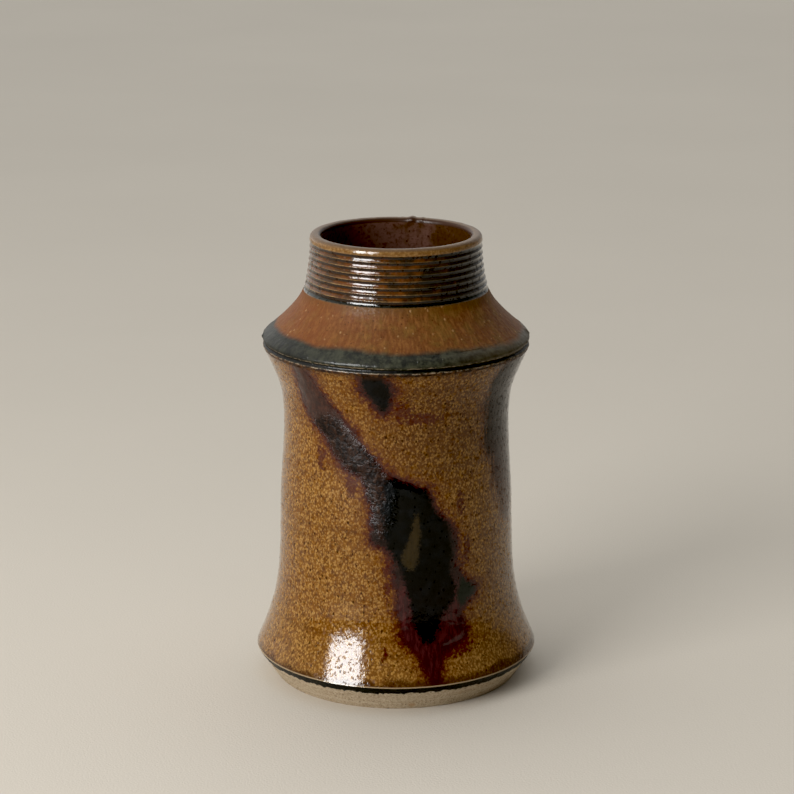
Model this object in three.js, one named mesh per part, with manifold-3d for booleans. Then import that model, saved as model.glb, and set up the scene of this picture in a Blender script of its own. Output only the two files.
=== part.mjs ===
// Stoneware vase: a waisted body under a beaded ridge, a sloping shoulder and a combed neck.
// Millimetres, +Z up. It stands on z = 0 with its axis on Z, and its front faces -Y.
// The clay was thrown in sections, luted together at stepped seats, then dipped and brushed with
// glazes. Each clay section and each coat of glaze is a closed body of its own.

import * as THREE from 'three';
import { mergeVertices } from 'three/addons/utils/BufferGeometryUtils.js';
import Module from 'manifold-3d';

// Driving dimensions
const HEIGHT = 160;
const FOOT_RADIUS = 43.6;
const SKIRT_RADIUS = 50.2;
const SKIRT_HEIGHT = 10;
const STEM_RADIUS = 41.4;
const WAIST_RADIUS = 39.8;
const WAIST_HEIGHT = 91;
const RIDGE_RADIUS = 47;
const RIDGE_HEIGHT = 122;
const SHOULDER_HEIGHT = RIDGE_HEIGHT + 4.7;
const NECK_HEIGHT = 140.2;
const NECK_BASE_RADIUS = 32.4;
const NECK_TOP_RADIUS = 30.2;
const MOUTH_RADIUS = 26.2;
const GROOVES = 8;
const GROOVE_DEPTH = 0.5;
const LIP_HEIGHT = 2.3;
const FLOOR_TOP = 8;
const FLOOR_UNDERSIDE = 2;
const COAT = 0.4;
const BRUSHED_COAT = 0.6;
const SEGMENTS = 48;
const STROKE_STEPS = 18;

// Sections of clay meet at stepped seats, each a ledge with a spigot standing inside it.
const FOOT_SEAT = { radius: 46.5, high: SKIRT_HEIGHT + 2.5 };
const FLOOR_SEAT = { radius: 42, bore: 37.5, ledge: 4.5 };
const RIDGE_SEAT = { radius: 44, low: RIDGE_HEIGHT - 2, high: RIDGE_HEIGHT - 0.5 };
const SHOULDER_SEAT = { radius: 40.5, high: SHOULDER_HEIGHT + 1.5 };
const NECK_SEAT = { radius: 29.4, high: NECK_HEIGHT + 2 };

// Outlines are lists of Vector2, radius then height, and run upwards along the pot.
const at = (radius, height) => new THREE.Vector2(radius, height);
const downwards = (line) => [...line].reverse();

// The line moved sideways by distance: into the clay where distance is positive.
function inset(line, distance) {
  const normalBetween = (a, b) => at(a.y - b.y, b.x - a.x).normalize();
  return line.map((point, i) => {
    const before = normalBetween(line[Math.max(i - 1, 0)], line[Math.max(i, 1)]);
    const after = normalBetween(line[Math.min(i, line.length - 2)], line[Math.min(i + 1, line.length - 1)]);
    const mitre = before.clone().add(after).normalize();
    return point.clone().addScaledVector(mitre, distance / mitre.dot(before));
  });
}

function skirtEdge() {
  return [at(48.7, 7.6), at(SKIRT_RADIUS, SKIRT_HEIGHT)];
}

function bodyOutline() {
  const curve = new THREE.SplineCurve([
    at(SKIRT_RADIUS, SKIRT_HEIGHT),
    at(46.2, 20),
    at(43.4, 30),
    at(42, 40),
    at(STEM_RADIUS, 55),
    at(STEM_RADIUS - 0.4, 71),
    at(WAIST_RADIUS, WAIST_HEIGHT),
    at(WAIST_RADIUS + 0.6, 103.5),
    at(WAIST_RADIUS + 2.8, 111),
    at(RIDGE_RADIUS - 0.5, RIDGE_SEAT.low),
  ]);
  return curve.getPoints(11);
}

// Two beads with a groove between them; the upper bead runs back into the slope of the shoulder.
function ridgeOutline() {
  return [
    at(RIDGE_RADIUS - 0.5, RIDGE_SEAT.low),
    at(RIDGE_RADIUS - 0.1, RIDGE_HEIGHT - 1),
    at(RIDGE_RADIUS - 0.7, RIDGE_HEIGHT),
    at(RIDGE_RADIUS, RIDGE_HEIGHT + 1.4),
    at(RIDGE_RADIUS - 1, RIDGE_HEIGHT + 3),
    at(RIDGE_RADIUS - 3.1, SHOULDER_HEIGHT),
  ];
}

function shoulderOutline() {
  const slope = new THREE.QuadraticBezierCurve(
    at(RIDGE_RADIUS - 3.1, SHOULDER_HEIGHT),
    at(NECK_BASE_RADIUS + 2.2, NECK_HEIGHT - 5.7),
    at(NECK_BASE_RADIUS, NECK_HEIGHT),
  );
  return slope.getPoints(4);
}

// Combed grooves of equal pitch on a neck that widens a little towards its base.
function neckOutline() {
  const top = HEIGHT - LIP_HEIGHT;
  const pitch = (top - NECK_HEIGHT) / GROOVES;
  const radiusAt = (height) => {
    const fall = (top - height) / (top - NECK_HEIGHT);
    return NECK_TOP_RADIUS + (NECK_BASE_RADIUS - NECK_TOP_RADIUS) * fall ** 2;
  };
  const line = [at(NECK_BASE_RADIUS, NECK_HEIGHT)];
  for (let i = 0; i < GROOVES; i += 1) {
    const bottom = NECK_HEIGHT + (i + 0.5) * pitch;
    const crest = NECK_HEIGHT + (i + 1) * pitch;
    line.push(at(radiusAt(bottom) - GROOVE_DEPTH, bottom), at(radiusAt(crest), crest));
  }
  return line;
}

function lipOutline() {
  return [
    at(NECK_TOP_RADIUS - 0.5, HEIGHT - 1),
    at(NECK_TOP_RADIUS - 1.4, HEIGHT - 0.1),
    at(MOUTH_RADIUS + 1.4, HEIGHT),
    at(MOUTH_RADIUS + 0.5, HEIGHT - 0.5),
    at(MOUTH_RADIUS, HEIGHT - 1.6),
  ];
}

// The wet side of the clay, from the edge of the floor to the mouth.
function insideOutline() {
  return [
    at(FLOOR_SEAT.radius, FLOOR_TOP),
    at(FLOOR_SEAT.radius, FOOT_SEAT.high),
    at(37.6, 36),
    at(35.4, WAIST_HEIGHT),
    at(38, 111),
    at(41, RIDGE_SEAT.high),
    at(37.4, SHOULDER_SEAT.high),
    at(28.6, NECK_HEIGHT - 4),
    at(MOUTH_RADIUS + COAT, NECK_SEAT.high),
    at(MOUTH_RADIUS + COAT, HEIGHT - 1.6),
  ];
}

const OUTSIDE = [
  ...skirtEdge(),
  ...bodyOutline().slice(1),
  ...ridgeOutline().slice(1),
  ...shoulderOutline().slice(1),
  ...neckOutline().slice(1),
  ...lipOutline(),
];
const INSIDE = insideOutline();
const CLAY = [...inset(OUTSIDE, COAT).slice(0, -1), INSIDE.at(-1)];

// The run of a line that lies between two of its own points.
const indexOf = (point) => OUTSIDE.findIndex((other) => other.equals(point));
const first = (line) => indexOf(line[0]);
const last = (line) => indexOf(line.at(-1));
const clayUnder = (line) => CLAY.slice(first(line), last(line) + 1);
const wetSide = (low, high) => INSIDE.filter((point) => point.y >= low && point.y <= high);

// A closed outline turned round the axis. The outline goes up the outside and down the inside.
function turned(outline) {
  return new THREE.LatheGeometry([...outline, outline[0]], SEGMENTS).rotateX(Math.PI / 2);
}

function footRing() {
  const [edgeStart, edgeEnd] = clayUnder(skirtEdge());
  return turned([
    at(FLOOR_SEAT.bore - 1, 0),
    at(FOOT_RADIUS, 0),
    OUTSIDE[0],
    edgeStart,
    edgeEnd,
    at(FOOT_SEAT.radius, edgeEnd.y),
    at(FOOT_SEAT.radius, FOOT_SEAT.high),
    at(FLOOR_SEAT.radius, FOOT_SEAT.high),
    at(FLOOR_SEAT.radius, FLOOR_SEAT.ledge),
    at(FLOOR_SEAT.bore, FLOOR_SEAT.ledge),
    at(FLOOR_SEAT.bore, FLOOR_UNDERSIDE),
  ]);
}

function floorDisc() {
  const outline = [
    at(0, FLOOR_UNDERSIDE),
    at(FLOOR_SEAT.bore, FLOOR_UNDERSIDE),
    at(FLOOR_SEAT.bore, FLOOR_SEAT.ledge),
    at(FLOOR_SEAT.radius, FLOOR_SEAT.ledge),
    at(FLOOR_SEAT.radius, FLOOR_TOP),
    at(0, FLOOR_TOP),
  ];
  return new THREE.LatheGeometry(outline, SEGMENTS).rotateX(Math.PI / 2);
}

// The two edges of a seat, listed from the outside of the pot inwards.
const seatStep = (seat, ledge) => [at(seat.radius, ledge), at(seat.radius, seat.high)];

function bodyWall() {
  const outer = clayUnder(bodyOutline());
  return turned([
    ...outer,
    ...seatStep(RIDGE_SEAT, outer.at(-1).y),
    ...downwards(wetSide(FOOT_SEAT.high, RIDGE_SEAT.high)),
    ...downwards(seatStep(FOOT_SEAT, outer[0].y)),
  ]);
}

function shoulderRidge() {
  const outer = clayUnder(ridgeOutline());
  return turned([
    ...outer,
    ...seatStep(SHOULDER_SEAT, outer.at(-1).y),
    ...downwards(wetSide(RIDGE_SEAT.high, SHOULDER_SEAT.high)),
    ...downwards(seatStep(RIDGE_SEAT, outer[0].y)),
  ]);
}

function shoulderCone() {
  const outer = clayUnder(shoulderOutline());
  return turned([
    ...outer,
    ...seatStep(NECK_SEAT, outer.at(-1).y),
    ...downwards(wetSide(SHOULDER_SEAT.high, NECK_SEAT.high)),
    ...downwards(seatStep(SHOULDER_SEAT, outer[0].y)),
  ]);
}

function neckCollar() {
  const outer = CLAY.slice(last(shoulderOutline()));
  return turned([
    ...outer,
    ...downwards(wetSide(NECK_SEAT.high, HEIGHT)).slice(1),
    ...downwards(seatStep(NECK_SEAT, outer[0].y)),
  ]);
}

// A coat of glaze between the finished surface and the clay under it.
function coat(from, to) {
  return turned([...OUTSIDE.slice(from, to + 1), ...downwards(CLAY.slice(from, to + 1))]);
}

// The glaze inside runs over the floor, pools in its corner and climbs to the mouth.
function linerGlaze() {
  const pool = 2;
  const free = INSIDE.slice(1).map((point) => at(point.x - COAT, point.y));
  const outline = [
    at(0, FLOOR_TOP),
    ...INSIDE,
    ...downwards(free),
    at(FLOOR_SEAT.radius - pool, FLOOR_TOP + COAT),
    at(0, FLOOR_TOP + COAT),
  ];
  return new THREE.LatheGeometry(outline, SEGMENTS).rotateX(Math.PI / 2);
}

// Solids for cutting
const wasm = await Module();
wasm.setup();

function toSolid(geometry) {
  const bare = geometry.clone();
  bare.deleteAttribute('normal');
  bare.deleteAttribute('uv');
  const merged = mergeVertices(bare);
  const mesh = new wasm.Mesh({
    numProp: 3,
    vertProperties: new Float32Array(merged.attributes.position.array),
    triVerts: new Uint32Array(merged.index.array),
  });
  return new wasm.Manifold(mesh);
}

function toGeometry(solid) {
  const { vertProperties, triVerts } = solid.getMesh();
  const geometry = new THREE.BufferGeometry();
  geometry.setAttribute('position', new THREE.BufferAttribute(vertProperties, 3));
  geometry.setIndex(new THREE.BufferAttribute(triVerts, 1));
  return geometry;
}

// A second coat brushed on the body glaze. Its outline is drawn as a stroke seen from outside the
// pot: each stop is [sideways, height, half width], and facing is the angle that it is seen from.
function brushed(stops, facing) {
  const body = bodyOutline();
  const skin = turned([...inset(body, -BRUSHED_COAT), ...downwards(body)]);
  const edge = (side) => {
    const points = stops.map(([sideways, height, half]) => at(sideways + side * half, height));
    return new THREE.SplineCurve(points).getPoints(STROKE_STEPS);
  };
  const outline = new THREE.Shape([...edge(-1), ...downwards(edge(1))]);
  const cutter = new THREE.ExtrudeGeometry(outline, { depth: 2 * SKIRT_RADIUS, bevelEnabled: false });
  cutter.rotateX(Math.PI / 2).rotateZ(facing);
  return toGeometry(toSolid(skin).intersect(toSolid(cutter)));
}

// The long stroke runs down from the left, swells where it crosses the middle and ends in a drip.
function ironBrushstroke() {
  const stops = [
    [-32.5, 119, 2.2],
    [-29, 111, 4.3],
    [-20, 97, 6.2],
    [-12, 87, 8],
    [1, 76, 11],
    [6, 62, 14],
    [11, 48, 12],
    [13, 36, 12.5],
    [12, 24, 8],
    [13.5, 14, 2],
  ];
  return brushed(stops, 0);
}

function ironPatchFront() {
  const stops = [
    [-7.5, 119.5, 4.5],
    [-6.5, 114, 5.8],
    [-4.5, 106, 1.5],
  ];
  return brushed(stops, 0);
}

function ironPatchSide() {
  const stops = [
    [0, 118, 11],
    [-1, 104, 14.5],
    [0, 88, 13],
    [4, 68, 3],
  ];
  return brushed(stops, THREE.MathUtils.degToRad(72));
}

const bareClay = { color: 0xb3a184, roughness: 0.9 };
const amberGlaze = { color: 0x9a6a2c, roughness: 0.2 };
const russetGlaze = { color: 0x8a5530, roughness: 0.35 };
const darkGlaze = { color: 0x2f2f27, roughness: 0.3 };
const combedGlaze = { color: 0x5d3a20, roughness: 0.25 };
const linerColour = { color: 0x4a2a14, roughness: 0.3 };
const ironGlaze = { color: 0x2a1815, roughness: 0.3 };

function named(name, geometry, finish) {
  const material = new THREE.MeshStandardMaterial({ ...finish, metalness: 0 });
  const mesh = new THREE.Mesh(geometry, material);
  mesh.name = name;
  return mesh;
}

const clay = new THREE.Group();
clay.add(
  named('foot_ring', footRing(), bareClay),
  named('floor_disc', floorDisc(), bareClay),
  named('body_wall', bodyWall(), bareClay),
  named('shoulder_ridge', shoulderRidge(), bareClay),
  named('shoulder_cone', shoulderCone(), bareClay),
  named('neck_collar', neckCollar(), bareClay),
);

const glaze = new THREE.Group();
glaze.add(
  named('foot_glaze_line', coat(0, first(bodyOutline())), darkGlaze),
  named('body_glaze', coat(first(bodyOutline()), last(bodyOutline())), amberGlaze),
  named('ridge_glaze', coat(first(ridgeOutline()), last(ridgeOutline())), darkGlaze),
  named('shoulder_glaze', coat(first(shoulderOutline()), last(shoulderOutline())), russetGlaze),
  named('neck_glaze', coat(last(shoulderOutline()), OUTSIDE.length - 1), combedGlaze),
  named('liner_glaze', linerGlaze(), linerColour),
  named('iron_brushstroke', ironBrushstroke(), ironGlaze),
  named('iron_patch_front', ironPatchFront(), ironGlaze),
  named('iron_patch_side', ironPatchSide(), ironGlaze),
);

const vase = new THREE.Group();
vase.add(clay, glaze);

export default vase;
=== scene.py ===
"""A hand-thrown stoneware vase: its looks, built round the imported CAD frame.

Lengths are metres in the CAD's frame: +Z up, the foot on z = 0 and the front towards -Y. The outlines
are read off the CAD nodes. A place on the pot is given by its azimuth, in degrees from the front and
positive towards +X, and by its height. Brushed shapes and materials count their heights in mm.
"""

import itertools
import math

import bmesh
import bpy
import numpy as np
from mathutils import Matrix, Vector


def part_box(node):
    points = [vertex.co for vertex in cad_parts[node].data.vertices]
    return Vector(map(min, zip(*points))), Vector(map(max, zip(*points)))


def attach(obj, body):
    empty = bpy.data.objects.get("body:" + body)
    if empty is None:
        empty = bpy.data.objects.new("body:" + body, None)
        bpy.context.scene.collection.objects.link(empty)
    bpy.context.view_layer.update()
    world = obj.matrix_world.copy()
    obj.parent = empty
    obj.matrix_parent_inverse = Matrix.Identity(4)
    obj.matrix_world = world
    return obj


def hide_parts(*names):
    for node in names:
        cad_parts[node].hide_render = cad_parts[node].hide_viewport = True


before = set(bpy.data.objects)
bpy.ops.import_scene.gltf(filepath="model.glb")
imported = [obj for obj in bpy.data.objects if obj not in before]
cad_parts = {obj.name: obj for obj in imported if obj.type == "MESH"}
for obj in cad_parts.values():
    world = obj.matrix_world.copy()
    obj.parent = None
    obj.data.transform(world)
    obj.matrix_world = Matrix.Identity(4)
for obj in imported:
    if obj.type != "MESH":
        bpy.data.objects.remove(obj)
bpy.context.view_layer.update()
MM = 0.001
SAME_CORNER = 0.01 * MM
TOUCHING = 0.1 * MM
CLAY = ("body_wall", "shoulder_ridge", "shoulder_cone", "neck_collar")


# ---------------------------------------------------------------- outlines, read off the frame

def section(node):
    """The corners of a turned CAD node as radius and height, anticlockwise from the lowest one."""
    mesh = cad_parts[node].data
    corners = {}
    for vertex in mesh.vertices:
        x, y, z = vertex.co
        if abs(x) < SAME_CORNER and y < SAME_CORNER:
            corners[vertex.index] = (round(-y, 6), round(z, 6))
    beside = {corner: set() for corner in corners.values()}
    for edge in mesh.edges:
        a, b = (corners.get(i) for i in edge.vertices)
        if a and b and a != b:
            beside[a].add(b)
            beside[b].add(a)
    walk = [min(beside, key=lambda corner: corner[::-1])]
    while ahead := sorted(beside[walk[-1]] - set(walk)):
        walk.append(ahead[0])
    line = np.array(walk)
    radius, height = line.T
    area = (radius * np.roll(height, -1) - np.roll(radius, -1) * height).sum()
    return line if area > 0 else np.roll(line[::-1], 1, axis=0)


def coat_sides(coat, *clay):
    """The section of a coat of glaze, split into its free side and its side on the clay."""
    line = section(coat)
    bed = np.vstack([section(node) for node in clay])
    free = np.array([np.hypot(*(bed - corner).T).min() > TOUCHING for corner in line])
    start = next(i for i in range(len(line)) if free[i] and not free[i - 1])
    line, free = np.roll(line, -start, axis=0), np.roll(free, -start)
    return line[free], line[~free]


def smooth_curve(at, knots, values):
    """Values on a smooth curve through the knots, which are in rising order."""
    slope = np.gradient(values, knots)
    i = np.clip(np.searchsorted(knots, at) - 1, 0, len(knots) - 2)
    span = knots[i + 1] - knots[i]
    t = (at - knots[i]) / span
    ends = values[i] * (1 + 2 * t) * (1 - t) ** 2 + values[i + 1] * (3 - 2 * t) * t ** 2
    return ends + span * t * (1 - t) * (slope[i] * (1 - t) - slope[i + 1] * t)


def smooth_radius(line, heights):
    """Radii at the heights, on the curve through the corners of a line that runs upwards."""
    return smooth_curve(heights, line[:, 1], line[:, 0])


def smooth_line(line, step):
    """The same curve from end to end, as points about a step apart."""
    low, high = line[0, 1], line[-1, 1]
    heights = np.linspace(low, high, round((high - low) / step) + 1)
    return np.c_[smooth_radius(line, heights), heights]


def straight_line(corners, step):
    """Points about a step apart on the straight lines from corner to corner."""
    points = [corners[:1]]
    for start, end in zip(corners, corners[1:]):
        points.append(np.linspace(start, end, round(math.dist(start, end) / step) + 1)[1:])
    return np.vstack(points)


BODY, BODY_BED = coat_sides("body_glaze", "body_wall")
RIDGE, RIDGE_BED = coat_sides("ridge_glaze", "shoulder_ridge")
SHOULDER, SHOULDER_BED = coat_sides("shoulder_glaze", "shoulder_cone")
NECK, NECK_BED = coat_sides("neck_glaze", "neck_collar")
SKIRT_EDGE = BODY[0, 1]
RIDGE_LOW, RIDGE_HIGH = RIDGE[0, 1], RIDGE[-1, 1]
RIDGE_GROOVE = RIDGE[2, 1]
NECK_LOW = SHOULDER[-1, 1]
GROOVES = 8
GROOVES_TOP = NECK[2 * GROOVES, 1]
GROOVE_PITCH = (GROOVES_TOP - NECK_LOW) / GROOVES
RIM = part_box("neck_glaze")[1].z
MOUTH_RADIUS = NECK[:, 0].min()


# ---------------------------------------------------------------- smooth random values

# Large odd numbers that scatter a cell's place and the seed into a random value.
PRIMES = np.array([73856093, 19349663, 83492791])
SEED_STRIDE = 668265263
SCRAMBLE = 1274126177


def lumps(points, size, seed):
    """Smooth random values from -1 to 1 at the points, in lumps of about the given size."""
    cell = points / size + 1000
    base = np.floor(cell).astype(np.int64)
    part = cell - base
    part = part * part * (3 - 2 * part)
    total = np.zeros(len(points))
    for corner in itertools.product((0, 1), repeat=3):
        key = ((base + corner) * PRIMES).sum(1) + seed * SEED_STRIDE
        key = (key ^ (key >> 13)) * SCRAMBLE
        value = ((key ^ (key >> 16)) & 0xFFFF) / 0x7FFF - 1
        total += value * np.where(corner, part, 1 - part).prod(1)
    return total


def bands(heights, size, seed):
    """The same along the height only, like the rings that a potter's fingers leave."""
    line = np.zeros((len(heights), 3))
    line[:, 2] = heights
    return lumps(line, size, seed)


def ease(value, low, high):
    """0 below low, 1 above high and a smooth rise between."""
    t = np.clip((value - low) / (high - low), 0, 1)
    return t * t * (3 - 2 * t)


# ---------------------------------------------------------------- the brushed iron, as fields

# Each shape is a list of stops from the top down: height in mm, left and right azimuth in degrees.
STROKE = (
    (123, -48, -43), (119, -49, -41), (113, -50, -38), (107, -50, -32), (102, -48, -26),
    (98, -43, -21), (94, -37, -17), (89, -32, -10), (86, -27, -6), (82, -19, 3),
    (79, -16, 14), (75, -14, 17), (71, -12, 20), (65, -12, 27), (60, -11, 30),
    (57, -5, 31), (50, -2, 31), (45, -1, 35), (41, 0, 42), (37, 0, 38), (34, 1, 33),
    (29, 2, 34), (24, 5, 31), (21, 9, 22), (16, 12, 19), (11, 15, 18),
)
# In the stroke: the black pool, its green lobe on the right, a pale streak, the ash-grey stretch.
BLACK = (
    (85, -1, 0), (82, -4, 6), (78, -5, 14), (72, -6, 17), (65, -5, 25), (60, -5, 27),
    (54, -1, 28), (48, 3, 27), (42, 5, 29), (38, 6, 28), (34, 7, 24), (29, 9, 20), (25, 12, 16),
)
LOBE = ((46, 33, 35), (43, 31, 40), (40, 30, 43), (37, 30, 41), (35, 32, 34))
STREAK = ((70, 9, 10.5), (67, 8, 11.5), (60, 5.5, 11.5), (55, 2.5, 11), (52, 3.5, 10), (50, 6, 8))
ASH = (
    (103, -40, -34), (99, -44, -24), (94, -38, -17), (88, -31, -9), (81, -17, -2), (74, -13, -3),
    (66, -11, -5), (60, -10, -7),
)
# Two patches that hang from the ridge.
PATCH_FRONT = ((123, -15, -6), (119, -16, -4), (114, -15.5, -1), (110, -12, -2), (106, -7, -4))
PATCH_SIDE = (
    (123, 56, 84), (118, 52, 90), (106, 49, 94), (93, 50, 94),
    (85, 54, 92), (74, 58, 86), (62, 63, 76),
)
# Rust-red blooms in the amber: azimuth, height, half width in degrees and half height in mm.
BLOOMS = (
    (12, 103.5, 15, 2.6), (2, 107, 8, 4), (-40, 88, 3.5, 6), (-22, 79.5, 4, 5), (-15, 84, 3, 3),
    (27, 22, 11, 5), (4, 26, 4, 6), (33, 72, 3, 5), (36, 55, 3, 7), (-4, 47, 3, 9), (-5, 20.5, 2, 3),
)


def inside(stops, azimuth, height):
    """Distance in mm from the edge of a brushed shape, positive inside it."""
    level, left, right = np.array(sorted(stops)).T
    rise = 0.5
    middle = np.clip(height, level[0], level[-1])
    radius = smooth_radius(BODY, np.clip(middle * MM, BODY[0, 1], BODY[-1, 1])) / MM
    distance = np.minimum(height - level[0], level[-1] - height)
    for edge, sign in ((left, 1), (right, -1)):
        place = smooth_curve(middle, level, edge)
        lean = smooth_curve(np.minimum(middle + rise, level[-1]), level, edge) - place
        aside = sign * np.radians(azimuth - place) * radius
        distance = np.minimum(distance, aside / np.hypot(1, np.radians(lean) * radius / rise))
    return distance


def bloom(azimuth, height):
    """Strength from 0 to 1 of the rust-red blooms."""
    strength = np.zeros(len(azimuth))
    for centre, level, width, tall in BLOOMS:
        away = np.hypot((azimuth - centre) / width, (height - level) / tall)
        strength = np.maximum(strength, 1 - ease(away, 0.4, 1.4))
    return strength


def burnt(azimuth, height):
    """Where the kiln darkened the amber: high on the right of the brush stroke."""
    centre, level, width, tall = 20, 100, 42, 32
    away = np.hypot((azimuth - centre) / width, (height - level) / tall)
    return 1 - ease(away, 0.3, 1.2)


def iron_fields(points):
    """What the glaze materials need to know of the brushed iron at each point of the body."""
    azimuth = np.degrees(np.arctan2(points[:, 0], -points[:, 1]))
    height = points[:, 2] / MM
    ragged = 0.7 * lumps(points, 4 * MM, 31) + 0.6 * lumps(points, 1.7 * MM, 32)
    drift = 2.2 * lumps(points, 7 * MM, 33) + ragged
    stroke = inside(STROKE, azimuth, height) + ragged
    front = inside(PATCH_FRONT, azimuth, height) + ragged
    return {
        "stroke": stroke,
        "front": front,
        "side": inside(PATCH_SIDE, azimuth, height) + drift,
        "black": np.maximum(inside(BLACK, azimuth, height) + ragged, front - 1),
        "lobe": inside(LOBE, azimuth, height) + 0.5 * ragged,
        "streak": inside(STREAK, azimuth, height) + 0.2 * ragged,
        "ash": inside(ASH, azimuth, height) + drift,
        "bloom": bloom(azimuth, height),
        "burnt": burnt(azimuth, height),
    }


# ---------------------------------------------------------------- relief of each surface

# Drops and crumbs of glaze: azimuth in degrees, height, radius and rise in mm.
RIDGE_DROPS = (
    (88, 125.0, 1.5, 0.5), (93, 122.6, 1.8, 0.45), (76, 123.4, 1.2, 0.3), (-86, 123.9, 1.4, 0.4),
)
RIM_DROPS = ((168, 159.6, 2.0, 0.5), (160, 159.5, 1.2, 0.25))


def drops(points, places):
    """Rise in mm of small round drops on a turned surface."""
    radius = np.hypot(points[:, 0], points[:, 1]) / MM
    angle = np.arctan2(points[:, 0], -points[:, 1])
    rise = np.zeros(len(points))
    for azimuth, height, size, top in places:
        turned = (angle - math.radians(azimuth) + math.pi) % math.tau - math.pi
        away = np.hypot(turned * radius, points[:, 2] / MM - height) / size
        rise += top * (1 - ease(away, 0, 1))
    return rise


def body_relief(points):
    """Lumps of glaze, faint throwing lines and the sway of a pot turned by hand."""
    height = points[:, 2]
    return MM * (
        0.022 * lumps(points, 2.4 * MM, 1)
        + 0.012 * lumps(points, 1.3 * MM, 2)
        + 0.035 * bands(height, 2.2 * MM, 3)
        + 0.060 * lumps(points, 16 * MM, 4)
        + 0.10 * lumps(points, 50 * MM, 5)
    )


def ridge_relief(points):
    """Glaze that lies thick and uneven on the beads, with a few crumbs stuck in it."""
    return MM * (
        0.06 * lumps(points, 2.0 * MM, 6)
        + 0.10 * lumps(points, 6 * MM, 7)
        + 0.12 * lumps(points, 25 * MM, 8)
        + drops(points, RIDGE_DROPS)
    )


def shoulder_relief(points):
    """Fine runs down the slope, and throwing lines round it."""
    return MM * (
        0.03 * lumps(points * (1, 1, 0.5), 1.8 * MM, 9)
        + 0.05 * lumps(points, 7 * MM, 10)
        + 0.03 * bands(points[:, 2], 1.6 * MM, 11)
        + 0.10 * lumps(points, 40 * MM, 12)
    )


def neck_relief(points):
    """A little unevenness, and the bead of glaze on the far rim."""
    return MM * (
        0.03 * lumps(points, 1.3 * MM, 13)
        + 0.04 * lumps(points, 5 * MM, 14)
        + 0.06 * lumps(points, 22 * MM, 15)
        + drops(points, RIM_DROPS)
    )


def liner_relief(points):
    """Finger rings up the inside."""
    return MM * (0.10 * bands(points[:, 2], 3.2 * MM, 16) + 0.04 * lumps(points, 4 * MM, 17))


def clay_relief(points):
    """Grit and turning lines."""
    return MM * (0.035 * lumps(points, 1.0 * MM, 18) + 0.05 * bands(points[:, 2], 1.4 * MM, 19))


def foot_line_relief(points):
    """The dark glaze ends in a ragged lower edge, where it dips under the bare clay."""
    around = points * (1, 1, 0)
    ragged = 0.35 * lumps(around, 3 * MM, 24) + 0.45 * lumps(around, 0.9 * MM, 25)
    edge = SKIRT_EDGE + (ragged - 2.6) * MM
    cover = ease(points[:, 2], edge - 0.25 * MM, edge + 0.25 * MM)
    return MM * (0.45 * cover - 0.35 + 0.03 * lumps(points, 1.5 * MM, 26))


# ---------------------------------------------------------------- meshes

def new_piece(name, bm, node):
    """Turns a bmesh into a shown object that stands for a CAD node."""
    bmesh.ops.recalc_face_normals(bm, faces=bm.faces)
    mesh = bpy.data.meshes.new(name)
    bm.to_mesh(mesh)
    bm.free()
    mesh.shade_smooth()
    mesh.set_sharp_from_angle(angle=math.radians(50))
    piece = bpy.data.objects.new(name, mesh)
    bpy.context.scene.collection.objects.link(piece)
    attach(piece, "root")
    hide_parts(node)
    return piece


def turn(line, around):
    """A line of radius and height turned round the axis: one row of the line for each angle."""
    angles = np.linspace(0, math.tau, around, endpoint=False)
    radius, height = line.T
    return np.stack([
        np.outer(np.sin(angles), radius),
        -np.outer(np.cos(angles), radius),
        np.tile(height, (around, 1)),
    ], axis=2)


def line_normals(line):
    """The outward direction, as radius and height, at each point of an anticlockwise line."""
    ahead = np.gradient(line, axis=0)
    normal = np.c_[ahead[:, 1], -ahead[:, 0]]
    return normal / np.hypot(*normal.T)[:, None]


def turned_piece(name, shown, hidden, around, relief, node):
    """A closed turned shape. Its section runs anticlockwise, and its shown part has the relief."""
    grid = turn(np.vstack([shown, hidden]), around)
    count = len(shown)
    rise = relief(grid[:, :count].reshape(-1, 3)).reshape(around, count, 1)
    grid[:, :count] += turn(line_normals(shown), around) * rise
    bm = bmesh.new()
    rows = [[bm.verts.new(point) for point in row] for row in grid.tolist()]
    for row, after in zip(rows, rows[1:] + rows[:1]):
        for i in range(len(row)):
            bm.faces.new((row[i - 1], after[i - 1], after[i], row[i]))
    # The corners on the axis come out once for each angle, so they are merged.
    bmesh.ops.remove_doubles(bm, verts=bm.verts, dist=SAME_CORNER)
    return new_piece(name, bm, node)


def set_fields(piece):
    """Stores the iron fields on a mesh of the body, for its material to read."""
    mesh = piece.data
    points = np.empty(len(mesh.vertices) * 3, np.float32)
    mesh.vertices.foreach_get("co", points)
    for name, values in iron_fields(points.reshape(-1, 3).astype(float)).items():
        attribute = mesh.attributes.new(name, "FLOAT", "POINT")
        attribute.data.foreach_set("value", values.astype(np.float32))


def body_surface(azimuth, height):
    """Points and outward directions of the glazed body at azimuths in radians and heights."""
    radius = smooth_radius(BODY, height)
    rise = 0.1 * MM
    slope = (smooth_radius(BODY, np.minimum(height + rise, BODY[-1, 1])) - radius) / rise
    length = np.hypot(1, slope)
    ring = np.c_[np.sin(azimuth), -np.cos(azimuth)]
    points = np.c_[ring * radius[:, None], height]
    outward = np.c_[ring / length[:, None], -slope / length]
    return points + outward * body_relief(points)[:, None], outward


def crinkle(points):
    """Sharp creases such as a thick coat of iron dries into."""
    folds = 1 - 2 * abs(lumps(points, 1.5 * MM, 20))
    fine = 1 - 2 * abs(lumps(points, 0.8 * MM, 21))
    return 0.6 * folds + 0.4 * fine


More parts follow.
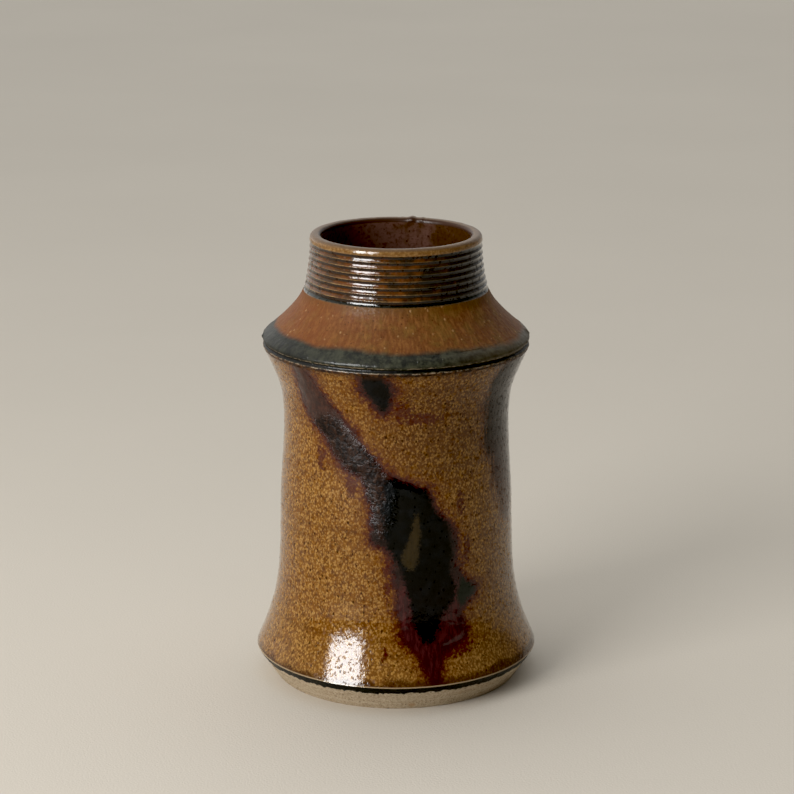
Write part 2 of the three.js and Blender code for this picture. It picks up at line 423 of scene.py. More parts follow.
def patch_grid(stops):
    """Azimuths in radians and heights of a fine grid that reaches just past a brushed shape."""
    cell, margin = 0.32 * MM, 1 * MM
    level, left, right = np.array(sorted(stops)).T
    radius = np.median(BODY[:, 0])
    low = max(level[0] * MM - margin, SKIRT_EDGE)
    high = min(level[-1] * MM + margin, RIDGE_LOW)
    first, last = np.radians(left.min() - 2), np.radians(right.max() + 2)
    heights = np.linspace(low, high, round((high - low) / cell))
    azimuths = np.linspace(first, last, round((last - first) * radius / cell))
    return np.meshgrid(azimuths, heights, indexing="ij")


def brushed_skin(azimuth, height, field, thickness):
    """The top and bottom of a brushed coat at places on the body, and whether it reaches them."""
    rim, sunk = -0.8, 0.25
    points, outward = body_surface(azimuth, height)
    fields = iron_fields(points)
    depth = fields[field]
    build = thickness * ease(depth, -0.6, 4.0) - 0.10 * (1 - ease(depth, rim, 0.4))
    build += 0.11 * crinkle(points) * ease(fields["ash"], -2, 4) * ease(depth, 0, 2)
    build += 0.02 * lumps(points * (1, 1, 0.2), 1.2 * MM, 23) * ease(depth, 0, 2)
    top = points + outward * (build * MM)[:, None]
    bottom = points - outward * sunk * MM
    return top, bottom, depth > rim


def slab(top, bottom, kept):
    """A closed mesh between two grids of points, over the squares with all four corners kept."""
    whole = kept[:-1, :-1] & kept[1:, :-1] & kept[:-1, 1:] & kept[1:, 1:]
    bm = bmesh.new()
    used = {}

    def corner(grid, place):
        key = (grid is top, place)
        if key not in used:
            used[key] = bm.verts.new(grid[place])
        return used[key]

    squares = set(zip(*np.nonzero(whole)))
    for i, j in sorted(squares):
        square = ((i, j), (i + 1, j), (i + 1, j + 1), (i, j + 1))
        bm.faces.new([corner(top, place) for place in square])
        bm.faces.new([corner(bottom, place) for place in reversed(square)])
        beside = ((i, j - 1), (i + 1, j), (i, j + 1), (i - 1, j))
        for a, b, neighbour in zip(square, square[1:] + square[:1], beside):
            if neighbour not in squares:
                bm.faces.new((corner(top, b), corner(top, a), corner(bottom, a), corner(bottom, b)))
    return bm


def brushed_piece(name, stops, field, thickness, node):
    """A raised coat over part of the body, with edges that sink into the glaze under it."""
    azimuth, height = patch_grid(stops)
    top, bottom, kept = brushed_skin(azimuth.ravel(), height.ravel(), field, thickness)
    shape = azimuth.shape
    bm = slab(top.reshape(*shape, 3), bottom.reshape(*shape, 3), kept.reshape(shape))
    piece = new_piece(name, bm, node)
    set_fields(piece)
    return piece


# ---------------------------------------------------------------- materials

def rgb(code):
    """A colour written as six hex digits, as linear red, green, blue and alpha."""
    parts = [int(code[i:i + 2], 16) / 255 for i in (0, 2, 4)]
    return tuple(c / 12.92 if c <= 0.04045 else ((c + 0.055) / 1.055) ** 2.4 for c in parts) + (1,)


class Paint:
    """Builds the nodes of one material. Most methods return a socket, so calls can be nested."""

    def __init__(self, name):
        self.material = bpy.data.materials.new(name)
        self.material.use_nodes = True
        self.tree = self.material.node_tree
        self.shader = self.tree.nodes["Principled BSDF"]
        self.place = self.add("ShaderNodeTexCoord").outputs["Object"]

    def add(self, kind, inputs=(), **settings):
        node = self.tree.nodes.new(kind)
        for key, value in settings.items():
            setattr(node, key, value)
        for key, value in dict(inputs).items():
            self.feed(node.inputs[key], value)
        return node

    def feed(self, socket, value):
        """Links a socket to the input, or sets the input to a constant."""
        if isinstance(value, bpy.types.NodeSocket):
            self.tree.links.new(value, socket)
        else:
            socket.default_value = value

    def calc(self, operation, a, b=0.0):
        return self.add("ShaderNodeMath", {0: a, 1: b}, operation=operation).outputs[0]

    def vector(self, operation, a, b=(0, 0, 0)):
        return self.add("ShaderNodeVectorMath", {0: a, 1: b}, operation=operation)

    def total(self, first, *others):
        for other in others:
            first = self.calc("ADD", first, other)
        return first

    def scaled(self, value, factor):
        return self.calc("MULTIPLY", value, factor)

    def swing(self, value, width):
        """A value from 0 to 1 as one from -width / 2 to width / 2."""
        return self.scaled(self.calc("SUBTRACT", value, 0.5), width)

    def stretched(self, x, y, z):
        """The place, squeezed or stretched along the axes."""
        return self.vector("MULTIPLY", self.place, (x, y, z)).outputs["Vector"]

    def noise(self, size, detail=2.0, rough=0.5, place=None, twist=0.0):
        """Cloudy values from 0 to 1, in lumps of about the given size in metres."""
        inputs = {
            "Vector": place or self.place,
            "Scale": 1 / size,
            "Detail": detail,
            "Roughness": rough,
            "Distortion": twist,
        }
        return self.add("ShaderNodeTexNoise", inputs).outputs["Fac"]

    def cells(self, size, place=None):
        """Distance from the nearest of scattered points about a size apart, in sizes."""
        inputs = {"Vector": place or self.place, "Scale": 1 / size}
        return self.add("ShaderNodeTexVoronoi", inputs).outputs["Distance"]

    def step(self, value, low, high):
        """0 below low, 1 above high and a smooth rise between; low may be the greater."""
        inputs = {"Value": value, "From Min": low, "From Max": high}
        node = self.add("ShaderNodeMapRange", inputs, interpolation_type="SMOOTHSTEP")
        return node.outputs["Result"]

    def mix(self, factor, a, b):
        """The colour a where factor is 0 and b where it is 1; each is a socket or six hex digits."""
        node = self.add("ShaderNodeMix", data_type="RGBA")
        self.feed(node.inputs["Factor"], factor)
        for socket, colour in ((node.inputs[6], a), (node.inputs[7], b)):
            self.feed(socket, rgb(colour) if isinstance(colour, str) else colour)
        return node.outputs[2]

    def over(self, colour, top, where, strength):
        """The colour, with another over it at the given strength where the value is 1."""
        return self.mix(self.scaled(where, strength), colour, top)

    def blend(self, factor, a, b):
        """The number a where factor is 0 and b where it is 1."""
        inputs = {"Value": factor, "To Min": a, "To Max": b}
        return self.add("ShaderNodeMapRange", inputs).outputs["Result"]

    def breaks(self):
        """1 in small ragged spots where the gloss is broken by the grit under it."""
        return self.step(self.noise(1.5 * MM, 3, 0.6), 0.57, 0.60)

    def field(self, name):
        """A value that set_fields stored on the mesh."""
        return self.add("ShaderNodeAttribute", attribute_name=name).outputs["Fac"]

    def height(self):
        """Height on the pot in mm."""
        split = self.add("ShaderNodeSeparateXYZ", {0: self.place})
        return self.scaled(split.outputs["Z"], 1 / MM)

    def side(self):
        """-1 at the left of the pot, 1 at its right."""
        split = self.add("ShaderNodeSeparateXYZ", {0: self.place})
        return self.scaled(split.outputs["X"], 1 / BODY[:, 0].max())

    def bump(self, height, depth, before=None):
        """A bump whose relief is depth metres where height goes from 0 to 1."""
        inputs = {"Height": height, "Distance": depth}
        if before is not None:
            inputs["Normal"] = before
        return self.add("ShaderNodeBump", inputs).outputs["Normal"]

    def finish(self, colour, roughness, normal, coat=0.0, coat_roughness=0.03):
        """Feeds the shader: a body of weak gloss under a clear coat. Returns the material."""
        self.feed(self.shader.inputs["Base Color"], colour)
        self.feed(self.shader.inputs["Roughness"], roughness)
        self.feed(self.shader.inputs["Normal"], normal)
        self.feed(self.shader.inputs["Coat Normal"], normal)
        self.shader.inputs["Specular IOR Level"].default_value = 0.15
        self.feed(self.shader.inputs["Coat Weight"], coat)
        self.shader.inputs["Coat Roughness"].default_value = coat_roughness
        return self.material


def clay_material():
    """Bare stoneware: grey buff, gritty, with fine turning lines and a few warm flashes."""
    paint = Paint("bare_stoneware")
    grain = paint.noise(0.8 * MM, 4, 0.75)
    cloud = paint.noise(9 * MM, 3)
    lines = paint.noise(1.2 * MM, 2, place=paint.stretched(0.03, 0.03, 1))
    colour = paint.mix(cloud, "a6957c", "baa991")
    colour = paint.over(colour, "7d6b53", paint.step(grain, 0.48, 0.66), 0.7)
    colour = paint.over(colour, "d0c3ae", paint.step(grain, 0.46, 0.34), 0.5)
    colour = paint.over(colour, "cdbfa8", paint.step(lines, 0.45, 0.7), 0.30)
    flash = paint.step(paint.noise(6 * MM, 2), 0.62, 0.75)
    colour = paint.over(colour, "a67a4b", flash, 0.4)
    speck = paint.step(paint.cells(1.5 * MM), 0.17, 0.10)
    colour = paint.over(colour, "493a2a", speck, 0.8)
    normal = paint.bump(grain, 0.3 * MM)
    normal = paint.bump(lines, 0.10 * MM, normal)
    return paint.finish(colour, paint.blend(grain, 0.72, 0.92), normal)


def amber(paint):
    """The ochre glaze: amber, speckled pale where it broke over the grit, with iron freckles.

    Returns its colour, and the mottle, the pale grain and the pits in it.
    """
    tall = paint.stretched(1, 1, 0.75)
    mottle = paint.noise(1.6 * MM, 3, 0.65, place=tall)
    cloud = paint.noise(14 * MM, 3, 0.55)
    greying = paint.step(paint.total(paint.side(), paint.scaled(cloud, 0.8)), 0.35, 1.15)
    colour = paint.mix(paint.step(cloud, 0.35, 0.65), "6c410b", "734a16")
    colour = paint.over(colour, "66451e", greying, 0.65)
    colour = paint.over(colour, "482406", paint.step(mottle, 0.56, 0.36), 0.75)
    burnt = paint.step(paint.total(paint.field("burnt"), paint.scaled(mottle, 0.8)), 0.5, 1.5)
    colour = paint.over(colour, "3f2009", burnt, 0.6)
    colour = paint.over(colour, "7d5f3c", paint.step(paint.height(), 40, 10), 0.3)
    dots = paint.step(paint.cells(1.0 * MM, tall), 0.52, 0.14)
    patchy = paint.step(paint.noise(2.2 * MM, 3, 0.7), 0.30, 0.56)
    worms = paint.step(paint.noise(0.75 * MM, 1, 0.5, place=tall), 0.52, 0.66)
    grain = paint.calc("MAXIMUM", paint.calc("MULTIPLY", dots, patchy), paint.scaled(worms, 0.7))
    colour = paint.over(colour, "af8648", grain, paint.blend(burnt, 0.78, 0.5))
    rings = paint.noise(1.6 * MM, 2, place=paint.stretched(0.025, 0.025, 1))
    colour = paint.over(colour, "502d07", paint.step(rings, 0.55, 0.72), 0.35)
    pits = 0.0
    for spacing, radius in ((2.0 * MM, 0.18), (4.1 * MM, 0.13)):
        pit = paint.step(paint.cells(spacing, tall), radius, radius / 2)
        colour = paint.over(colour, "220d04", pit, 0.8)
        pits = paint.calc("MAXIMUM", pits, pit)
    return colour, mottle, grain, pits


def reddened(paint, colour, iron, red):
    """Amber with rust-red blooms, and the mottled halo that the iron bleeds into it."""
    spots = paint.noise(1.2 * MM, 2, 0.6)
    burnt = paint.step(iron, -9.0, -1.0)
    colour = paint.over(colour, "5a2f07", burnt, 0.45)
    blooms = paint.step(paint.total(paint.scaled(red, 0.35), spots), 0.70, 0.82)
    colour = paint.over(colour, "40130a", blooms, 0.85)
    spread = paint.total(iron, paint.swing(spots, 11.0))
    colour = paint.over(colour, "481c13", paint.step(spread, -3.2, -0.6), 0.8)
    return paint.over(colour, "301213", paint.step(iron, -1.7, 0.2), 0.9)


def iron_colour(paint, height, crease, wisp):
    """The iron: brown where thin, ash-grey where it crinkled, with painted shade in its low folds and
    painted glints on its high ones, black where it pooled, maroon below.

    Returns its colour, and where it is ash-grey and where black.
    """
    runs = paint.noise(1.1 * MM, 3, 0.6, place=paint.stretched(1, 1, 0.16))
    level = paint.total(height, paint.swing(crease, 14.0))
    colour = paint.mix(paint.step(runs, 0.35, 0.7), "2c1611", "46291f")
    colour = paint.over(colour, "1f1110", paint.step(crease, 0.45, 0.62), 0.6)
    low = paint.mix(paint.step(runs, 0.42, 0.62), "301718", "452020")
    middle = paint.mix(paint.step(crease, 0.35, 0.65), "110809", "291815")
    colour = paint.mix(paint.step(level, 84, 78), colour, middle)
    colour = paint.mix(paint.step(level, 50, 40), colour, low)
    ash = paint.step(paint.total(paint.field("ash"), wisp), -2.5, 2.5)
    # Ash-grey crinkle: painted shade in its low folds, and painted glints on its highest folds, on
    # the same creases as the bump.
    grey = paint.mix(paint.step(crease, 0.44, 0.60), "120a08", "301e15")
    grey = paint.over(grey, "544337", paint.step(crease, 0.62, 0.74), 0.6)
    colour = paint.mix(ash, colour, grey)
    black = paint.step(paint.total(paint.field("black"), wisp), -1.2, 1.0)
    pool = paint.mix(paint.step(paint.noise(3.5 * MM, 3), 0.4, 0.7), "050809", "0c1013")
    colour = paint.over(colour, pool, black, 0.97)
    colour = paint.mix(paint.step(paint.field("lobe"), -1.0, 1.4), colour, "0a140c")
    streak = paint.step(paint.total(paint.field("streak"), paint.scaled(wisp, 0.7)), -0.6, 1.0)
    streak = paint.calc("MULTIPLY", streak, paint.blend(runs, 0.35, 1.15))
    return paint.mix(streak, colour, "382e1d"), ash, black


def veiled(paint, height, colour, wisp):
    """The patch at the side, a thin dark veil with a rust-red fringe: the colour, and its cover."""
    streaks = paint.noise(1.3 * MM, 3, 0.6, place=paint.stretched(1, 1, 0.12))
    side = paint.total(paint.field("side"), wisp, paint.swing(streaks, 9.0))
    colour = paint.over(colour, "45200e", paint.step(side, -4.0, -0.5), 0.6)
    shade = paint.mix(paint.step(height, 78, 96), "311a12", "17130e")
    fade = paint.step(height, 64, 84)
    veil = paint.calc("MULTIPLY", paint.step(side, -1.5, 2.5), paint.blend(fade, 0.45, 0.92))
    return paint.mix(veil, colour, shade), veil


def edged(paint, height, colour):
    """The glaze gathers dark above the sharp edge, and is pale on the edge, where it breaks thin and
    a highlight is painted; a band just under the ridge is darker.
    """
    edge, under = SKIRT_EDGE / MM, RIDGE_LOW / MM
    wave = paint.scaled(paint.noise(8 * MM, 3, 0.6), -5.0)
    gather = paint.total(height, wave, paint.scaled(paint.side(), -1.0))
    colour = paint.over(colour, "2e1507", paint.step(gather, edge + 0.6, edge - 1.4), 0.75)
    # Pale line on the sharp edge: glaze broken thin, and a painted highlight.
    colour = paint.over(colour, "9c886c", paint.step(height, edge + 0.55, edge + 0.25), 0.9)
    return paint.over(colour, "341a07", paint.step(height, under - 2.0, under - 0.3), 0.5)


def body_material():
    """The ochre glaze over the body, with the brushed iron that lies on it and bleeds into it."""
    paint = Paint("body_glaze")
    height = paint.height()
    colour, mottle, grain, pits = amber(paint)
    wisp = paint.swing(paint.noise(0.9 * MM, 3, 0.65), 5.5)
    iron = paint.total(paint.calc("MAXIMUM", paint.field("stroke"), paint.field("front")), wisp)
    colour = reddened(paint, colour, iron, paint.field("bloom"))
    crease = paint.noise(1.9 * MM, 3, 0.65, twist=1.2)
    brushed, ash, black = iron_colour(paint, height, crease, wisp)
    covered = paint.step(iron, -0.1, 1.3)
    colour = paint.mix(covered, colour, brushed)
    colour, veil = veiled(paint, height, colour, wisp)
    colour = edged(paint, height, colour)

    ash = paint.calc("MULTIPLY", ash, covered)
    normal = paint.bump(paint.noise(1.3 * MM, 1, 0.5), 0.025 * MM)
    normal = paint.bump(grain, 0.012 * MM, normal)
    normal = paint.bump(paint.calc("SUBTRACT", 1.0, pits), 0.02 * MM, normal)
    normal = paint.bump(paint.calc("MULTIPLY", crease, ash), 0.35 * MM, normal)
    matte = paint.step(height, 92, 104)
    broken = paint.calc("MULTIPLY", paint.breaks(), paint.blend(covered, 1.0, 0.15))
    rough = paint.blend(covered, paint.blend(mottle, 0.07, 0.14), paint.blend(matte, 0.09, 0.4))
    rough = paint.blend(ash, rough, 0.5)
    rough = paint.blend(paint.scaled(broken, 0.6), rough, 0.5)
    dull = paint.calc("MAXIMUM", veil, paint.calc("MULTIPLY", black, covered))
    coat = paint.blend(ash, paint.blend(dull, 0.55, 0.28), 0.08)
    coat = paint.blend(paint.calc("MAXIMUM", broken, pits), coat, 0.03)
    return paint.finish(colour, rough, normal, coat)


def run_places(paint):
    """Places that hardly change down a slope, so that noise on them makes runs."""
    outward = paint.vector("NORMALIZE", paint.stretched(1, 1, 0)).outputs["Vector"]
    steady = paint.vector("MULTIPLY", outward, (0.08, 0.08, 0.08)).outputs["Vector"]
    return paint.vector("ADD", steady, paint.place).outputs["Vector"]


def shoulder_material():
    """Orange-brown satin glaze that runs down the shoulder, and the dark glaze on the ridge."""
    paint = Paint("shoulder_glaze")
    height = paint.height()
    downhill = run_places(paint)
    runs = paint.noise(3.2 * MM, 3, 0.6, place=downhill)
    wide = paint.noise(14 * MM, 3, 0.6, place=downhill)
    cloud = paint.noise(6 * MM, 5, 0.7)
    fine = paint.noise(0.9 * MM, 3, 0.6)
    colour = paint.mix(paint.step(cloud, 0.40, 0.60), "69401f", "6b4c24")
    colour = paint.over(colour, "694022", paint.step(wide, 0.42, 0.60), 0.7)
    colour = paint.over(colour, "8a5e32", paint.step(runs, 0.48, 0.64), 0.5)
    colour = paint.over(colour, "4b270f", paint.step(runs, 0.46, 0.32), 0.3)
    colour = paint.over(colour, "47230e", paint.step(fine, 0.5, 0.7), 0.4)
    top = NECK_LOW / MM
    colour = paint.over(colour, "543b17", paint.step(height, top - 3.5, top - 0.4), 0.5)
    colour = paint.over(colour, "743d16", paint.step(paint.side(), 0.1, -0.8), 0.45)
    speck = paint.step(paint.cells(2.8 * MM, paint.stretched(1, 1, 0.7)), 0.19, 0.09)
    speck = paint.calc("MULTIPLY", speck, paint.step(cloud, 0.42, 0.58))
    colour = paint.over(colour, "ab8458", speck, 0.65)
    freckle = paint.step(paint.cells(2.1 * MM, paint.stretched(1, 1, 0.8)), 0.16, 0.08)
    colour = paint.over(colour, "341806", freckle, 0.6)
    colour, band = ridge_colour(paint, height, colour)
    normal = paint.bump(fine, 0.06 * MM)
    normal = paint.bump(runs, 0.06 * MM, normal)
    normal = paint.bump(speck, 0.15 * MM, normal)
    normal = paint.bump(paint.noise(1.7 * MM, 2), 0.16 * MM, normal)
    rough, coat = paint.blend(fine, 0.5, 0.66), paint.blend(band, 0.05, 0.25)
    return paint.finish(colour, rough, normal, coat, coat_roughness=0.15)


def ridge_colour(paint, height, colour):
    """Green-black over the beads of the ridge, with buff lines along their edges, where the glaze
    wears thin and a highlight is painted.

    Returns the colour, and where the dark glaze lies.
    """
    wave = paint.swing(paint.noise(16 * MM, 3, 0.4), 4.0)
    top = RIDGE_HIGH / MM
    band = paint.step(paint.total(height, wave, paint.side()), top + 1.4, top - 0.5)
    dark = paint.mix(paint.step(paint.noise(2.5 * MM, 4, 0.65), 0.35, 0.7), "191a14", "3f4032")
    dark = paint.over(dark, "0f0f0b", paint.step(paint.side(), -0.2, -0.9), 0.7)
    dark = paint.over(dark, "57482f", paint.step(paint.side(), 0.2, 0.9), 0.5)
    groove = RIDGE_GROOVE / MM
    waver = paint.swing(paint.noise(2.6 * MM, 4, 0.7), 0.9)
    level = paint.total(height, waver)
    off_groove = paint.calc("ABSOLUTE", paint.calc("SUBTRACT", level, groove - 0.1))
    below = paint.step(height, groove - 0.5, groove - 1.1)
    lower = paint.mix(paint.step(paint.noise(1.5 * MM, 3), 0.4, 0.65), "1f1008", "533519")
    dark = paint.mix(below, dark, lower)
    dark = paint.mix(paint.step(off_groove, 0.7, 0.3), dark, "050403")
    # Buff lines on the bead edges: glaze gone thin there, and a painted highlight.
    worn_and_highlit = paint.step(paint.noise(1.4 * MM, 3, 0.6), 0.40, 0.58)
    for above in (0.75, -0.95):
        off = paint.calc("ABSOLUTE", paint.calc("SUBTRACT", level, groove + above))
        line = paint.calc("MULTIPLY", paint.step(off, 0.24, 0.08), worn_and_highlit)
        dark = paint.over(dark, "8a7b66", line, 0.85)
    return paint.mix(band, colour, dark), band


def combed(paint, height, grain, cloud):
    """The combed grooves: pale crests, where the glaze wears thin and a highlight is painted, painted
    shade just under each crest, and darker on the right.
    """
    low, pitch = NECK_LOW / MM, GROOVE_PITCH / MM
    turns = paint.scaled(paint.calc("SUBTRACT", height, low), math.pi / pitch)
    depth = paint.total(paint.calc("ABSOLUTE", paint.calc("SINE", turns)), grain)
    patches = paint.noise(5 * MM, 3, 0.6)
    black = paint.step(paint.total(paint.side(), paint.scaled(patches, 1.2)), 0.45, 0.95)
    # Painted shade: the dark colour just under each crest.
    shade_under_crest = paint.mix(black, "26180e", "110f0b")
    flank = paint.mix(paint.step(patches, 0.4, 0.62), "60391a", "3f2b18")
    flank = paint.mix(black, flank, "261f18")
    # Pale crests: glaze gone thin on them, and a painted highlight.
    crest = paint.mix(paint.step(cloud, 0.4, 0.6), "8a6f49", "6c5030")
    crest = paint.mix(black, crest, "463d2b")
    turned = paint.scaled(paint.calc("SUBTRACT", height, low), 1 / pitch)
    phase = paint.calc("FRACT", paint.total(turned, paint.scaled(grain, 0.25)))
    colour = paint.mix(paint.step(phase, 0.38, 0.62), flank, shade_under_crest)
    colour = paint.over(colour, crest, paint.step(depth, 0.26, 0.06), 0.9)
    red = paint.step(paint.noise(2.2 * MM, 2), 0.6, 0.72)
    return paint.over(colour, "310f06", red, 0.5)


def ochre_band(paint, fine):
    """The plain band between the grooves and the lip."""
    plain = paint.mix(paint.step(fine, 0.4, 0.7), "6e4e2a", "8e6e44")
    plain = paint.over(plain, "a27a4a", paint.step(paint.side(), 0.3, 0.9), 0.5)
    fleck = paint.step(paint.cells(1.7 * MM), 0.16, 0.08)
    return paint.over(plain, "341b08", fleck, 0.75)


def neck_material():
    """Brown glaze over the combed grooves, an ochre band above them, and a dull brown lip."""
    paint = Paint("neck_glaze")
    height = paint.height()
    fine = paint.noise(0.9 * MM, 3, 0.6)
    cloud = paint.noise(9 * MM, 3)
    grain = paint.swing(fine, 0.5)
    low, top, rim, bore = NECK_LOW / MM, GROOVES_TOP / MM, RIM / MM, MOUTH_RADIUS / MM
    colour = combed(paint, height, grain, cloud)
    above = paint.step(paint.total(height, paint.swing(cloud, 0.4)), top - 0.3, top + 0.1)
    colour = paint.mix(above, colour, ochre_band(paint, fine))
    on_lip = paint.step(height, rim - 1.2, rim - 0.3)
    colour = paint.over(colour, paint.mix(cloud, "4a3828", "6a5541"), on_lip, 0.8)
    level = paint.total(height, grain)
    colour = paint.mix(paint.step(level, low + 1.5, low + 0.9), colour, "14150e")
    colour = paint.mix(paint.step(level, low + 0.35, low + 0.1), colour, "553f25")
    radius = paint.vector("LENGTH", paint.stretched(1, 1, 0)).outputs["Value"]
    inner = paint.step(paint.scaled(radius, 1 / MM), bore + 1.1, bore + 0.5)
    colour = paint.mix(inner, colour, "3c2619")
    normal = paint.bump(fine, 0.03 * MM)
    normal = paint.bump(paint.noise(1.5 * MM, 2), 0.05 * MM, normal)
    dull = paint.calc("MAXIMUM", on_lip, paint.calc("MAXIMUM", inner, paint.breaks()))
    rough = paint.blend(dull, paint.blend(fine, 0.08, 0.14), 0.4)
    return paint.finish(colour, rough, normal, paint.blend(dull, 0.6, 0.06))


def liner_material():
    """Maroon-brown glaze inside, breaking to ochre towards the back."""
    paint = Paint("liner_glaze")
    cloud = paint.noise(7 * MM, 4, 0.65)
    fine = paint.noise(1.2 * MM, 3, 0.6)
    ochre = paint.step(paint.total(paint.side(), paint.scaled(cloud, 1.6)), 0.75, 1.25)
    colour = paint.mix(ochre, "62483f", "46301a")
    colour = paint.over(colour, "371d10", paint.step(fine, 0.45, 0.7), 0.6)
    freckle = paint.step(paint.cells(2.2 * MM), 0.2, 0.1)
    colour = paint.over(colour, "160602", freckle, 0.7)
    normal = paint.bump(fine, 0.10 * MM)
    return paint.finish(colour, paint.blend(fine, 0.12, 0.2), normal, coat=0.2)


def foot_line_material():
    """Near-black satin glaze."""
    paint = Paint("foot_glaze_line")
    fine = paint.noise(0.8 * MM, 3)
    colour = paint.mix(paint.step(fine, 0.35, 0.7), "030403", "0b100b")
    return paint.finish(colour, paint.blend(fine, 0.3, 0.5), paint.bump(fine, 0.12 * MM), coat=0.08)


def floor_material():
    """A plain pale floor with the faintest cloudiness."""
    paint = Paint("studio_floor")
    soft = paint.noise(250 * MM, 3)
    colour = paint.mix(soft, "c6bfb4", "cec7bc")
    normal = paint.bump(paint.noise(0.8 * MM, 2), 0.1 * MM)
    return paint.finish(colour, paint.blend(soft, 0.75, 0.85), normal)


# ---------------------------------------------------------------- the vase

def neck_line():
    """The combed neck, then over the lip to the mouth."""
    crests = np.vstack([NECK[:1], NECK[2:2 * GROOVES + 1:2]])
    depth = crests[1:, 0].mean() - NECK[1:2 * GROOVES:2, 0].mean()
    heights = np.arange(NECK_LOW, GROOVES_TOP, 0.12 * MM)
    phase = (heights - NECK_LOW) / GROOVE_PITCH
    dip = abs(np.sin(math.pi * phase))
    grooved = np.c_[smooth_radius(crests, heights) - depth * dip, heights]
    half = (crests[-1, 0] - MOUTH_RADIUS) / 2
    inner_drop = 1.6 * MM
    angles = np.linspace(0, math.pi, 60)
    # Powers under 1 make the round lip a little squarer.
    across = np.sign(np.cos(angles)) * abs(np.cos(angles)) ** 0.75
    over = np.sin(angles) ** 0.85
    drop = np.where(across > 0, RIM - GROOVES_TOP, inner_drop)
    lip = np.c_[MOUTH_RADIUS + half + half * across, RIM - drop + drop * over]
    return np.vstack([grooved, lip])


def make_coats():
    """The four coats of glaze that show outside, from the body up."""
    return (
        turned_piece(
            "body_glaze_coat", smooth_line(BODY, 0.5 * MM), BODY_BED, 400,
            body_relief, "body_glaze",
        ),
        turned_piece(
            "ridge_glaze_coat", smooth_line(RIDGE, 0.12 * MM), RIDGE_BED, 480,
            ridge_relief, "ridge_glaze",
        ),
        turned_piece(
            "shoulder_glaze_coat", smooth_line(SHOULDER, 0.25 * MM), SHOULDER_BED, 400,
            shoulder_relief, "shoulder_glaze",
        ),
        turned_piece(
            "neck_glaze_coat", neck_line(), NECK_BED, 400,
            neck_relief, "neck_glaze",
        ),
    )


def make_liner():
    """The glaze inside, from the mouth down the wall and across the floor."""
    free, bed = coat_sides("liner_glaze", *CLAY, "foot_ring", "floor_disc")
    return turned_piece(
        "liner_glaze_coat", straight_line(free, 0.7 * MM), bed, 240,
        liner_relief, "liner_glaze",
    )


def make_foot_ring():
    """The bare foot: it stands on its lower face, and its chamfer runs up under the dark glaze."""
    foot, glaze = section("foot_ring"), section("foot_glaze_line")
    inner, outer, start = foot[:3]
    top = glaze[1]
    contact = np.linspace(inner + [0.4 * MM, 0], outer, 12)[:-1]
    chamfer = np.linspace(outer, start, 16)
    under = np.linspace(start - [0.3 * MM, 0], top - [0.5 * MM, 0], 4)[1:]
    shown = np.vstack([contact, chamfer, under])
    hidden = np.vstack([foot[5:], foot[:1]])
    return turned_piece(
        "foot_ring_clay", shown, hidden, 480,
        clay_relief, "foot_ring",
    )


def make_floor_disc():
    """The floor of the vase, with its underside shown."""
    disc = section("floor_disc")
    underside = np.linspace(disc[0], disc[1], 60)
    return turned_piece(
        "floor_disc_clay", underside, disc[2:], 200,
        clay_relief, "floor_disc",
    )


def make_foot_line():
    """The dark line of glaze under the sharp edge, which reaches a little way down the chamfer."""
    outer = section("foot_ring")[1]
    start, top = section("foot_glaze_line")[:2]
    reach = 1.2 * MM
    low = start + (outer - start) / np.hypot(*(outer - start)) * reach
    slope = np.vstack([np.linspace(low, start, 8)[:-1], np.linspace(start, top, 14)])
    bed = np.array([top - [1.0 * MM, 0], start - [1.2 * MM, 0], low - [0.5 * MM, 0]])
    return turned_piece(
        "foot_glaze_line_coat", slope, bed, 720,
        foot_line_relief, "foot_glaze_line",
    )


def make_vase():
    """Every piece with its material. The clay under the glaze keeps its CAD mesh."""
    body, ridge, shoulder, neck = make_coats()
    set_fields(body)
    liner = make_liner()
    foot_ring = make_foot_ring()
    floor_disc = make_floor_disc()
    foot_line = make_foot_line()
    stroke = brushed_piece("iron_brushstroke_coat", STROKE, "stroke", 0.28, "iron_brushstroke")
    front = brushed_piece("iron_patch_front_coat", PATCH_FRONT, "front", 0.15, "iron_patch_front")
    side = brushed_piece("iron_patch_side_coat", PATCH_SIDE, "side", 0.08, "iron_patch_side")
    clay = clay_material()
    looks = {
        body_material(): (body, stroke, front, side),
        shoulder_material(): (ridge, shoulder),
        neck_material(): (neck,),
        liner_material(): (liner,),
        foot_line_material(): (foot_line,),
        clay: (foot_ring, floor_disc),
    }
    for material, pieces in looks.items():
        for piece in pieces:
            piece.data.materials.append(material)
    for node in CLAY:
        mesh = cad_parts[node].data
        mesh.materials.clear()
        mesh.materials.append(clay)


# ---------------------------------------------------------------- studio

def make_floor():
    """The floor that the vase stands on, large enough to fill every view."""
    half = 6.0
    bm = bmesh.new()
    bmesh.ops.create_grid(bm, x_segments=8, y_segments=8, size=half)
    mesh = bpy.data.meshes.new("studio_floor")
    bm.to_mesh(mesh)
    bm.free()
    mesh.materials.append(floor_material())
    floor = bpy.data.objects.new("studio_floor", mesh)
    bpy.context.scene.collection.objects.link(floor)


def area_light(name, azimuth, elevation, distance, size, power, tint):
    """A rectangular light that faces the vase from an azimuth and an elevation in degrees."""
    data = bpy.data.lights.new(name, "AREA")
    data.shape = "RECTANGLE"
    data.size, data.size_y = size
    data.energy = power
    data.color = tint
    light = bpy.data.objects.new(name, data)
    a, e = math.radians(azimuth), math.radians(elevation)
    away = np.array((math.sin(a) * math.cos(e), -math.cos(a) * math.cos(e), math.sin(e)))
    light.location = np.array((0, 0, RIM / 2)) + away * distance
    light.rotation_euler = (math.radians(90) - e, 0, a)
    light.visible_camera = False
    bpy.context.scene.collection.objects.link(light)
    return light


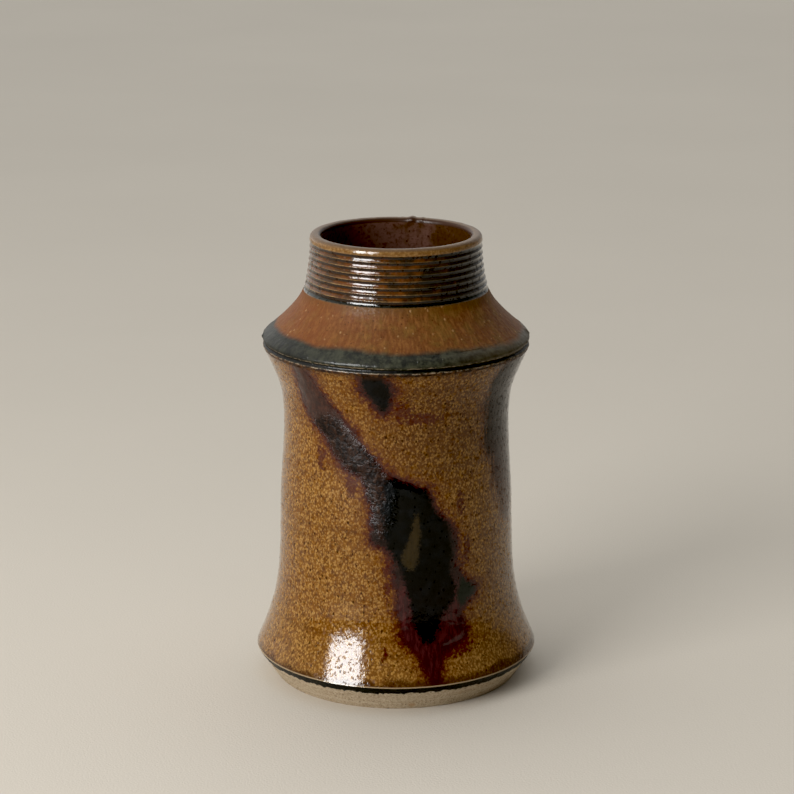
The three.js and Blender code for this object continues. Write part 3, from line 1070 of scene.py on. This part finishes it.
def make_window():
    """A window-sized light from the front left, and a crisper one that only glossy surfaces show."""
    azimuth, elevation = -44, 22
    area_light("window", azimuth, elevation, 1.2, (0.64, 0.73), 13, (1.0, 0.98, 0.95))
    glint = area_light("window_glint", azimuth, elevation, 1.1, (0.52, 0.62), 16, (0.94, 0.97, 1.0))
    glint.visible_diffuse = False


def make_room():
    """Soft light all round, bright from above and behind and dim from the front."""
    bright_side, dim, bright = (-0.30, 0.60, 0.74), 0.14, 1.25
    world = bpy.data.worlds.new("studio")
    world.use_nodes = True
    tree = world.node_tree
    direction = tree.nodes.new("ShaderNodeTexCoord").outputs["Generated"]
    facing = tree.nodes.new("ShaderNodeVectorMath")
    facing.operation = "DOT_PRODUCT"
    facing.inputs[1].default_value = bright_side
    glow = tree.nodes.new("ShaderNodeMapRange")
    glow.interpolation_type = "SMOOTHSTEP"
    limits = {"From Min": 0.1, "From Max": 1.0, "To Min": dim, "To Max": bright}
    for name, value in limits.items():
        glow.inputs[name].default_value = value
    background = tree.nodes["Background"]
    background.inputs["Color"].default_value = (0.97, 0.97, 0.95, 1)
    tree.links.new(direction, facing.inputs[0])
    tree.links.new(facing.outputs["Value"], glow.inputs["Value"])
    tree.links.new(glow.outputs["Result"], background.inputs["Strength"])
    bpy.context.scene.world = world


def make_camera():
    """In front of the vase, above its rim and looking down at it, through a long lens."""
    distance, height, aside = 5.346 * RIM, 2.081 * RIM, 0.35 * MM
    downwards = 15.2
    data = bpy.data.cameras.new("camera")
    data.sensor_width = 36
    data.lens = 113.4
    camera = bpy.data.objects.new("camera", data)
    camera.location = (aside, -distance, height)
    camera.rotation_euler = (math.radians(90 - downwards), 0, 0)
    bpy.context.scene.collection.objects.link(camera)
    bpy.context.scene.camera = camera


def set_view():
    """Plain display colours, with the deepest tones pulled down to black as a photo has them."""
    deepest = 0.012
    view = bpy.context.scene.view_settings
    view.view_transform = "Standard"
    view.use_curve_mapping = True
    view.curve_mapping.black_level = (deepest, deepest, deepest)


make_camera()
make_vase()
make_floor()
make_window()
make_room()
set_view()
